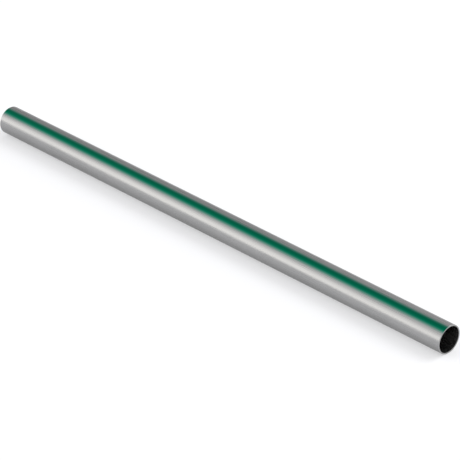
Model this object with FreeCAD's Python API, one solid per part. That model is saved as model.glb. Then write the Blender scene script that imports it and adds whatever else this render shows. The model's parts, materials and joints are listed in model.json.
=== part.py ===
import FreeCAD, Part
import math
import os

# A cut length of thin-walled stainless steel pipe for press fittings.
# The ends are cut square and deburred inside and out. A green marking line is printed
# on the outside, along the whole length.
#
# The pipe lies on its side. The origin is on the surface that it lies on, under the
# middle of its length. +X runs along the pipe and +Z is up. Sizes are in millimetres.

# Driving dimensions of the pipe
OUTER_DIAMETER = 28.0
WALL = 1.2
LENGTH = 580.0
DEBURRING_RADIUS = 0.3      # rounding of the inner and the outer edge at each end

# Driving dimensions of the marking line
LINE_WIDTH = 6.5            # measured round the curve of the wall
LINE_LEAN_DEG = 23.0        # from the top of the pipe to the middle of the line, towards -Y
INK_THICKNESS = 0.1         # how far the line stands above the steel

# Sizes that follow
OUTER_RADIUS = OUTER_DIAMETER / 2
INNER_RADIUS = OUTER_RADIUS - WALL
AXIS_HEIGHT = OUTER_RADIUS
HALF_LENGTH = LENGTH / 2
# The two roundings at an end leave a flat ring between them.
EDGE_RADIUS = min(DEBURRING_RADIUS, 0.4 * WALL)

ALONG_THE_PIPE = FreeCAD.Vector(1, 0, 0)
MID_AXIS = FreeCAD.Vector(0, 0, AXIS_HEIGHT)


def on_section(x, radius):
    """A point of the wall's section, which is drawn straight below the pipe's axis."""
    return FreeCAD.Vector(x, 0, AXIS_HEIGHT - radius)


def rounded_corner(x, radius, start_deg):
    """A quarter arc of the section about the centre (x, radius), from start_deg to 90 further.

    The angle is counted from +X towards growing radius.
    """
    points = []
    for deg in (start_deg, start_deg + 45, start_deg + 90):
        turn = math.radians(deg)
        points.append(on_section(x + EDGE_RADIUS * math.cos(turn),
                                 radius + EDGE_RADIUS * math.sin(turn)))
    return Part.Arc(*points).toShape()


def wall_section():
    """The long thin strip that the wall shows when the pipe is cut along its axis."""
    x = HALF_LENGTH - EDGE_RADIUS
    outer = OUTER_RADIUS - EDGE_RADIUS
    inner = INNER_RADIUS + EDGE_RADIUS
    corners = [
        rounded_corner(x, outer, 0),
        rounded_corner(-x, outer, 90),
        rounded_corner(-x, inner, 180),
        rounded_corner(x, inner, 270),
    ]
    edges = []
    for corner, following in zip(corners, corners[1:] + corners[:1]):
        edges.append(corner)
        edges.append(Part.makeLine(corner.lastVertex().Point, following.firstVertex().Point))
    return Part.Face(Part.Wire(edges))


def make_pipe():
    """The wall's section turned about the pipe's axis."""
    return wall_section().revolve(MID_AXIS, ALONG_THE_PIPE, 360)


def round_the_pipe(radius, turn):
    """A point at one end of the ink, a turn in radians away from the top of the pipe."""
    return FreeCAD.Vector(
        -(HALF_LENGTH - EDGE_RADIUS),
        -radius * math.sin(turn),
        AXIS_HEIGHT + radius * math.cos(turn),
    )


def make_green_line():
    """The printed film: a narrow arc on top of the wall, drawn out between the rounded edges."""
    half_width = LINE_WIDTH / 2 / OUTER_RADIUS
    turns = (-half_width, 0, half_width)
    steel_side = [round_the_pipe(OUTER_RADIUS, turn) for turn in turns]
    open_side = [round_the_pipe(OUTER_RADIUS + INK_THICKNESS, turn) for turn in turns]
    outline = Part.Wire([
        Part.Arc(*steel_side).toShape(),
        Part.makeLine(steel_side[2], open_side[2]),
        Part.Arc(*reversed(open_side)).toShape(),
        Part.makeLine(open_side[0], steel_side[0]),
    ])
    return Part.Face(outline).extrude(ALONG_THE_PIPE * (LENGTH - 2 * EDGE_RADIUS))


def seat(film, wall):
    """Draws the film's edges on the wall, so that the two share the face where they meet."""
    shapes_of = wall.generalFuse([film])[1]
    return shapes_of[1][0], shapes_of[0][0]


def main():
    green_line, pipe = seat(make_green_line(), make_pipe())
    os.makedirs("parts", exist_ok=True)
    for name, shape in (("pipe", pipe), ("green_line", green_line)):
        # Both are drawn with the line on top, and then the whole pipe is rolled over a little.
        shape.rotate(MID_AXIS, ALONG_THE_PIPE, LINE_LEAN_DEG)
        shape.exportStep(f"parts/{name}.step")


main()
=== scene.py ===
import json
import math

import bpy
import bmesh
from mathutils import Matrix, Vector


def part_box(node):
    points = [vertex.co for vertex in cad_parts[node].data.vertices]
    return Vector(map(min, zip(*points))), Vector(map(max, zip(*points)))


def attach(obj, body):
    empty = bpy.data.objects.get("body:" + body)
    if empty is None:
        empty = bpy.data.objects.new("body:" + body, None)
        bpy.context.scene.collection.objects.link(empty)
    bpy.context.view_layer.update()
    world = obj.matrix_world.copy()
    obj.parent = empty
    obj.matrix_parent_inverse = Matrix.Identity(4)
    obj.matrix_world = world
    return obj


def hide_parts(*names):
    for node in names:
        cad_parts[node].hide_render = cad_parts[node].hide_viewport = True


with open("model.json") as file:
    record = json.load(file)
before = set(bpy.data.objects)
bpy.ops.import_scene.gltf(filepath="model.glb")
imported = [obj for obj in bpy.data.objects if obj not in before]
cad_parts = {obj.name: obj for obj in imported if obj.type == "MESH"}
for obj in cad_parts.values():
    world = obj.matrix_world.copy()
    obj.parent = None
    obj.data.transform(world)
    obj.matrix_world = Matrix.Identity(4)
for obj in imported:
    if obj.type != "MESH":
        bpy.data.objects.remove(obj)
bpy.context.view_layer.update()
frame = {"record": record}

# Sizes taken from the frame, in metres
MM_PER_M = 1000
PIPE_LOW, PIPE_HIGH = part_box("pipe")
LINE_LOW, LINE_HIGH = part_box("green_line")
MOUNTS = {mount["name"]: mount for mount in frame["record"]["mounts"]}
LENGTH = PIPE_HIGH[0] - PIPE_LOW[0]
HALF_LENGTH = LENGTH / 2
OUTER_RADIUS = MOUNTS["front_end"]["dims"]["r_mm"] / MM_PER_M
INNER_RADIUS = MOUNTS["bore"]["dims"]["r_mm"] / MM_PER_M
EDGE_RADIUS = (LENGTH - MOUNTS["bore"]["dims"]["length_mm"] / MM_PER_M) / 2
AXIS_HEIGHT = MOUNTS["bore"]["pos_m"][2]

# The marking line leans from the top of the pipe towards -Y. Its box gives both its edges.
LINE_LEAN_LOW = math.asin(-LINE_HIGH[1] / OUTER_RADIUS)
LINE_LEAN_HIGH = math.acos((LINE_LOW[2] - AXIS_HEIGHT) / OUTER_RADIUS)
LINE_LEAN = (LINE_LEAN_LOW + LINE_LEAN_HIGH) / 2
FILM_THICKNESS = (LINE_HIGH[2] - AXIS_HEIGHT) / math.cos(LINE_LEAN_LOW) - OUTER_RADIUS
FILM_EDGE_SHARE = 0.04      # how much of that thickness is left at the line's edges

# How finely the round forms are drawn
SIDES = 192
CORNER_STEPS = 6
LINE_STEPS = 24
SMOOTH_BELOW_DEG = 35.0     # faces that meet at more than this keep a sharp edge

# The wall's map for textures, in pixels of a square image. The outside and the bore are two
# strips side by side, each with the flat ring of one end. They run once round the pipe from
# left to right, from its underside, and along it from bottom to top. Their borders lie at
# whole pixels, so that no pixel there is half empty.
MAP_NAME = "OFBake"
MAP_SIDE_PX = 1024
MAP_GAP_PX = 4              # left free on all sides of a strip
OUTSIDE_WIDTH_PX = 672
BORE_WIDTH_PX = 336
OUTSIDE_LEFT_PX = MAP_GAP_PX
BORE_LEFT_PX = OUTSIDE_LEFT_PX + OUTSIDE_WIDTH_PX + 2 * MAP_GAP_PX
CORNER_STEP_PX = 3
FLAT_RING_PX = 24

# The photograph's camera
IMAGE_SIDE = 460
FOCAL_LENGTH_PX = 2760
SENSOR_WIDTH = 36.0
CAMERA_AZIMUTH = 44.90      # degrees from -Y towards +X
CAMERA_ELEVATION = 30.22
NEAR_MOUTH_PX = (449.29, 339.67)
NEAR_MOUTH_DEPTH = 2.408    # metres along the camera's line of sight
CLIP_END = 200.0            # metres, farther than the corners of the floor


def along_x(x, radius, lean):
    """A point at a lean, in radians, from the top of the pipe towards -Y."""
    return Vector((x, -radius * math.sin(lean), AXIS_HEIGHT + radius * math.cos(lean)))


def corner_points(x, radius, start):
    """(x, radius) points of a quarter arc that rounds one edge of an end."""
    points = []
    for step in range(CORNER_STEPS + 1):
        turn = start + math.pi / 2 * step / CORNER_STEPS
        points.append((x + EDGE_RADIUS * math.cos(turn), radius + EDGE_RADIUS * math.sin(turn)))
    return points


def map_rows():
    """The borders, from bottom to top, of a strip's rounded edge, wall, rounded edge and ring."""
    edge = [CORNER_STEP_PX * step for step in range(CORNER_STEPS + 1)]
    low = MAP_GAP_PX
    high = MAP_SIDE_PX - MAP_GAP_PX - FLAT_RING_PX - edge[-1]
    return [low + px for px in edge] + [high + px for px in edge] + [MAP_SIDE_PX - MAP_GAP_PX]


def lay_flat(face, layout, side, left, width, row):
    """Gives one face of the wall its place in a strip of the map for textures."""
    u = [left + width * at / SIDES for at in (side, side + 1)]
    v = map_rows()[row:row + 2]
    corners = ((u[0], v[0]), (u[0], v[1]), (u[1], v[1]), (u[1], v[0]))
    for loop, corner in zip(face.loops, corners):
        loop[layout].uv = Vector(corner) / MAP_SIDE_PX


def make_pipe():
    """The pipe's wall, turned about its axis, with its edges rounded."""
    x = HALF_LENGTH - EDGE_RADIUS
    outer = OUTER_RADIUS - EDGE_RADIUS
    inner = INNER_RADIUS + EDGE_RADIUS
    outside = corner_points(x, outer, 0) + corner_points(-x, outer, math.pi / 2)
    bore = corner_points(-x, inner, math.pi) + corner_points(x, inner, 1.5 * math.pi)
    section = outside + bore
    mesh = bmesh.new()
    layout = mesh.loops.layers.uv.new(MAP_NAME)
    rings = []
    for side in range(SIDES):
        lean = math.pi + 2 * math.pi * side / SIDES
        rings.append([mesh.verts.new(along_x(px, pr, lean)) for px, pr in section])
    for side, (ring, following) in enumerate(zip(rings, rings[1:] + rings[:1])):
        for i in range(len(section)):
            j = (i + 1) % len(section)
            face = mesh.faces.new((ring[i], ring[j], following[j], following[i]))
            if i < len(outside):
                lay_flat(face, layout, side, OUTSIDE_LEFT_PX, OUTSIDE_WIDTH_PX, i)
            else:
                lay_flat(face, layout, side, BORE_LEFT_PX, BORE_WIDTH_PX, i - len(outside))
    return finished(mesh, "pipe_wall")


def film_height(across):
    """How far the film stands above the steel, thinning out from its middle to its edges.

    across runs from 0 at one edge to 1 at the other.
    """
    swell = (1 - math.cos(2 * math.pi * across)) / 2
    return FILM_THICKNESS * (FILM_EDGE_SHARE + (1 - FILM_EDGE_SHARE) * swell)


def make_line():
    """The marking line: a thin film that follows the outer wall between the rounded edges."""
    ends = (HALF_LENGTH - EDGE_RADIUS, EDGE_RADIUS - HALF_LENGTH)
    mesh = bmesh.new()
    rows = []
    for step in range(LINE_STEPS + 1):
        across = step / LINE_STEPS
        lean = LINE_LEAN_LOW + (LINE_LEAN_HIGH - LINE_LEAN_LOW) * across
        top = OUTER_RADIUS + film_height(across)
        rows.append([
            mesh.verts.new(along_x(ends[0], OUTER_RADIUS, lean)),
            mesh.verts.new(along_x(ends[0], top, lean)),
            mesh.verts.new(along_x(ends[1], top, lean)),
            mesh.verts.new(along_x(ends[1], OUTER_RADIUS, lean)),
        ])
    for row, following in zip(rows, rows[1:]):
        for i in range(len(row)):
            j = (i + 1) % len(row)
            mesh.faces.new((row[i], row[j], following[j], following[i]))
    mesh.faces.new(reversed(rows[0]))
    mesh.faces.new(rows[-1])
    return finished(mesh, "marking_line")


def finished(mesh, name):
    """The object made from a bmesh, with its faces turned outwards and its curves smooth."""
    bmesh.ops.recalc_face_normals(mesh, faces=mesh.faces)
    data = bpy.data.meshes.new(name)
    mesh.to_mesh(data)
    mesh.free()
    data.shade_smooth()
    data.set_sharp_from_angle(angle=math.radians(SMOOTH_BELOW_DEG))
    piece = bpy.data.objects.new(name, data)
    bpy.context.scene.collection.objects.link(piece)
    return piece


class Nodes:
    """A short way to add and join the nodes of one material or world."""

    def __init__(self, tree):
        self.tree = tree
        tree.nodes.clear()

    def add(self, kind, inputs=None, **settings):
        """Adds a node. An input is given another node's output, or its own value."""
        node = self.tree.nodes.new(kind)
        for name, value in settings.items():
            setattr(node, name, value)
        for key, value in (inputs or {}).items():
            if isinstance(value, bpy.types.NodeSocket):
                self.tree.links.new(value, node.inputs[key])
            else:
                node.inputs[key].default_value = value
        return node

    def math(self, operation, a, b=None, c=None, clamp=False):
        """The result of one operation on up to three values."""
        inputs = {i: v for i, v in enumerate((a, b, c)) if v is not None}
        return self.add("ShaderNodeMath", inputs, operation=operation, use_clamp=clamp).outputs[0]

    def mix(self, factor, a, b):
        """Mixes two colours. On this node, colours go in at 6 and 7 and come out at 2."""
        return self.add("ShaderNodeMix", {0: factor, 6: a, 7: b}, data_type="RGBA").outputs[2]

    def span(self, value, low, high, to_low, to_high, smooth=False):
        """Maps the range from low to high onto the range from to_low to to_high."""
        kind = "SMOOTHSTEP" if smooth else "LINEAR"
        inputs = {"Value": value, "From Min": low, "From Max": high,
                  "To Min": to_low, "To Max": to_high}
        return self.add("ShaderNodeMapRange", inputs, interpolation_type=kind).outputs[0]

    def noise(self, place, scale, detail, roughness=0.5):
        """Noise round 0.5. Its scale is the number of its cells in a metre."""
        inputs = {"Vector": place, "Scale": scale, "Detail": detail, "Roughness": roughness}
        return self.add("ShaderNodeTexNoise", inputs).outputs[0]


# The ink is dense in the middle of the line and thins out to nothing on both sides. At the
# ends it fades out part of the way round the rounded edge.
INK_FULL_DEG = 3.0          # either side of the line's middle
INK_GONE_DEG = 24.0
INK_END_DEPTH = 0.5 * EDGE_RADIUS

# Fine lines drawn along the walls, fine rings on the cut ends, and soft clouds over both
DRAWN_SCALE = 2600.0
DRAWN_STRETCH = (0.006, 1.0, 1.0)   # makes each cell of the noise long along the pipe
DRAWN_DETAIL = 3.0
DRAWN_ROUGHNESS = 0.6
RING_SCALE = 9000.0
RING_DETAIL = 2.0
RINGS_FROM_X = HALF_LENGTH - 0.3 * EDGE_RADIUS
RINGS_FULL_X = HALF_LENGTH - 0.1 * EDGE_RADIUS
CLOUD_SCALE = 45.0
CLOUD_DETAIL = 2.0
NOISE_RANGE = (0.3, 0.7)    # where nearly all of a noise lies

# What they do to the steel's tone, its roughness and its height, which is in metres
FINE_TONES = (0.975, 1.025)
CLOUD_TONES = (-0.01, 0.01)
FINE_ROUGHNESS = (0.24, 0.33)
CLOUD_ROUGHNESS = (-0.02, 0.02)
INK_ROUGHNESS = 0.05        # how much rougher dense ink is than the steel
BUMP_STRENGTH = 0.3
BUMP_DEPTH = 0.00003

# Square roots of the base colours: mixed like this, thin ink keeps a lively green.
STEEL_ROOT = (0.584, 0.584, 0.584)
INK_ROOT = (0.01, 0.375, 0.270, 1.0)
EDGE_TINT = (0.68, 0.68, 0.68, 1.0)     # what the metal reflects at a glancing angle


def ink_density(nodes, place):
    """1 where the line is dense, falling softly to 0 on both sides of it."""
    y = nodes.math("MULTIPLY", place.outputs["Y"], -1.0)
    z = nodes.math("SUBTRACT", place.outputs["Z"], AXIS_HEIGHT)
    lean = nodes.math("ARCTAN2", y, z)
    off_middle = nodes.math("ABSOLUTE", nodes.math("SUBTRACT", lean, LINE_LEAN))
    full, gone = math.radians(INK_FULL_DEG), math.radians(INK_GONE_DEG)
    return nodes.span(off_middle, full, gone, 1.0, 0.0, smooth=True)


def distance_from_axis(nodes, place):
    """How far each point lies from the pipe's axis."""
    y = place.outputs["Y"]
    z = nodes.math("SUBTRACT", place.outputs["Z"], AXIS_HEIGHT)
    return nodes.math("SQRT", nodes.math("ADD", nodes.math("MULTIPLY", y, y),
                                         nodes.math("MULTIPLY", z, z)))


def fine_lines(nodes, coordinates, place, radius):
    """Fine lines, from 0 to 1: drawn along the walls, and running round on the cut ends."""
    along = nodes.add("ShaderNodeMapping", {"Vector": coordinates, "Scale": DRAWN_STRETCH})
    drawn = nodes.noise(along.outputs[0], DRAWN_SCALE, DRAWN_DETAIL, DRAWN_ROUGHNESS)
    turning = nodes.add("ShaderNodeCombineXYZ", {"X": radius, "Y": 0.0, "Z": 0.0}).outputs[0]
    rings = nodes.noise(turning, RING_SCALE, RING_DETAIL)
    x = nodes.math("ABSOLUTE", place.outputs["X"])
    on_the_end = nodes.span(x, RINGS_FROM_X, RINGS_FULL_X, 0.0, 1.0)
    return nodes.span(on_the_end, 0.0, 1.0, drawn, rings)


def steel_with_ink(name):
    """Satin steel with fine lines drawn along it, and green ink where the marking line is."""
    material = bpy.data.materials.new(name)
    material.use_nodes = True
    nodes = Nodes(material.node_tree)
    coordinates = nodes.add("ShaderNodeTexCoord").outputs["Object"]
    place = nodes.add("ShaderNodeSeparateXYZ", {0: coordinates})

    radius = distance_from_axis(nodes, place)
    lines = fine_lines(nodes, coordinates, place, radius)
    clouds = nodes.noise(coordinates, CLOUD_SCALE, CLOUD_DETAIL)

    on_the_outside = nodes.span(radius, OUTER_RADIUS - INK_END_DEPTH, OUTER_RADIUS, 0.0, 1.0)
    ink = nodes.math("MULTIPLY", ink_density(nodes, place), on_the_outside)
    tone = nodes.math("ADD", nodes.span(lines, *NOISE_RANGE, *FINE_TONES),
                      nodes.span(clouds, *NOISE_RANGE, *CLOUD_TONES))
    steel = nodes.add("ShaderNodeVectorMath", {0: STEEL_ROOT, "Scale": tone},
                      operation="SCALE").outputs[0]
    root = nodes.mix(ink, steel, INK_ROOT)
    colour = nodes.add("ShaderNodeVectorMath", {0: root, 1: root}, operation="MULTIPLY").outputs[0]
    roughness = nodes.math("ADD", nodes.span(lines, *NOISE_RANGE, *FINE_ROUGHNESS),
                           nodes.span(clouds, *NOISE_RANGE, *CLOUD_ROUGHNESS))
    roughness = nodes.math("ADD", roughness, nodes.math("MULTIPLY", ink, INK_ROUGHNESS))
    bump = nodes.add("ShaderNodeBump", {"Height": lines, "Strength": BUMP_STRENGTH,
                                        "Distance": BUMP_DEPTH})

    shader = nodes.add("ShaderNodeBsdfPrincipled", {
        "Base Color": colour,
        "Metallic": 1.0,
        "Specular Tint": EDGE_TINT,
        "Roughness": roughness,
        "Normal": bump.outputs[0],
    })
    nodes.add("ShaderNodeOutputMaterial", {"Surface": shader.outputs[0]})
    return material


FLOOR_COLOUR = (0.572, 0.576, 0.595, 1.0)
FLOOR_GLOW = 0.42
FLOOR_HALF_SIDE = 40.0      # so wide that a camera low down sees little beyond it


def seen_directly(nodes):
    """1 for the camera and for what metal or glass mirrors, 0 for light that spreads."""
    ray = nodes.add("ShaderNodeLightPath")
    seen = nodes.math("ADD", ray.outputs["Is Camera Ray"], ray.outputs["Is Glossy Ray"])
    return nodes.math("ADD", seen, ray.outputs["Is Transmission Ray"], clamp=True)


def make_floor():
    """A pale floor that the pipe lies on. The glow makes it white where it is seen."""
    mesh = bmesh.new()
    corners = [mesh.verts.new((x * FLOOR_HALF_SIDE, y * FLOOR_HALF_SIDE, 0))
               for x, y in ((-1, -1), (1, -1), (1, 1), (-1, 1))]
    mesh.faces.new(corners)
    floor = finished(mesh, "floor")
    material = bpy.data.materials.new("pale_floor")
    material.use_nodes = True
    nodes = Nodes(material.node_tree)
    matt = nodes.add("ShaderNodeBsdfDiffuse", {"Color": FLOOR_COLOUR})
    glow = nodes.add("ShaderNodeEmission", {
        "Strength": nodes.math("MULTIPLY", seen_directly(nodes), FLOOR_GLOW)})
    both = nodes.add("ShaderNodeAddShader", {0: matt.outputs[0], 1: glow.outputs[0]})
    nodes.add("ShaderNodeOutputMaterial", {"Surface": both.outputs[0]})
    floor.data.materials.append(material)


WHITE = (1.0, 1.0, 1.0, 1.0)
WARM_WHITE = (1.0, 0.985, 0.955, 1.0)

# The room is evenly pale, with a wide bright side and another opposite it. Each is
# brightest in its middle. How near a direction is to a bright side runs from 0 to 1.
ROOM_LEVEL = 0.61
BRIGHT_SIDE_DIRECTION = (-0.62, -0.785, 0.0)
WIDE_GLOW = 0.42
WIDE_GLOW_NEARNESS = (0.15, 0.55)
MIDDLE_GLOW = 1.335
MIDDLE_GLOW_NEARNESS = (0.74, 1.0)


def make_room():
    """The soft light of a pale room, brighter on two sides."""
    world = bpy.data.worlds.new("room")
    bpy.context.scene.world = world
    world.use_nodes = True
    nodes = Nodes(world.node_tree)
    direction = nodes.add("ShaderNodeTexCoord").outputs["Generated"]
    towards = nodes.add("ShaderNodeVectorMath", {0: direction, 1: BRIGHT_SIDE_DIRECTION},
                        operation="DOT_PRODUCT").outputs["Value"]
    nearness = nodes.math("ABSOLUTE", towards)
    wide = nodes.span(nearness, *WIDE_GLOW_NEARNESS, 0.0, WIDE_GLOW, smooth=True)
    middle = nodes.span(nearness, *MIDDLE_GLOW_NEARNESS, 0.0, 1.0, smooth=True)
    light = nodes.math("ADD", ROOM_LEVEL,
                       nodes.math("MULTIPLY_ADD", middle, MIDDLE_GLOW, wide))
    background = nodes.add("ShaderNodeBackground", {
        "Color": nodes.mix(middle, WHITE, WARM_WHITE), "Strength": light})
    nodes.add("ShaderNodeOutputWorld", {"Surface": background.outputs[0]})


LAMP_SIDE = 1.2
LAMP_POSITION = (0.6, 1.3, 2.0)
LAMP_POWER = 14.5


def make_lamp():
    """One soft lamp overhead, which sets the pipe's shadow down beside it."""
    data = bpy.data.lights.new("overhead", "AREA")
    data.shape = "SQUARE"
    data.size = LAMP_SIDE
    data.energy = LAMP_POWER
    lamp = bpy.data.objects.new("overhead", data)
    lamp.location = LAMP_POSITION
    lamp.rotation_euler = (-Vector(LAMP_POSITION)).to_track_quat("-Z", "Y").to_euler()
    bpy.context.scene.collection.objects.link(lamp)


def make_camera():
    """The photograph's camera, placed from where the near mouth lies in the picture."""
    azimuth, elevation = math.radians(CAMERA_AZIMUTH), math.radians(CAMERA_ELEVATION)
    backwards = Vector((math.sin(azimuth) * math.cos(elevation),
                        -math.cos(azimuth) * math.cos(elevation),
                        math.sin(elevation)))
    right = Vector((math.cos(azimuth), math.sin(azimuth), 0))
    up = backwards.cross(right)
    to_the_right, down = [(px - IMAGE_SIDE / 2) / FOCAL_LENGTH_PX * NEAR_MOUTH_DEPTH
                          for px in NEAR_MOUTH_PX]
    near_mouth = Vector((HALF_LENGTH, 0, AXIS_HEIGHT))
    position = near_mouth - to_the_right * right + down * up + NEAR_MOUTH_DEPTH * backwards
    turn = Matrix((right, up, backwards)).transposed().to_4x4()

    data = bpy.data.cameras.new("camera")
    data.sensor_width = SENSOR_WIDTH
    data.lens = SENSOR_WIDTH * FOCAL_LENGTH_PX / IMAGE_SIDE
    data.clip_end = CLIP_END
    camera = bpy.data.objects.new("camera", data)
    camera.matrix_world = Matrix.Translation(position) @ turn
    bpy.context.scene.collection.objects.link(camera)
    bpy.context.scene.camera = camera


def main():
    scene = bpy.context.scene
    scene.view_settings.view_transform = "Standard"

    pipe = make_pipe()
    pipe.data.materials.append(steel_with_ink("satin_steel"))
    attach(pipe, "root")
    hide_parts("pipe")

    line = make_line()
    line.data.materials.append(steel_with_ink("green_ink"))
    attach(line, "root")
    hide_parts("green_line")

    make_floor()
    make_room()
    make_lamp()
    make_camera()


main()
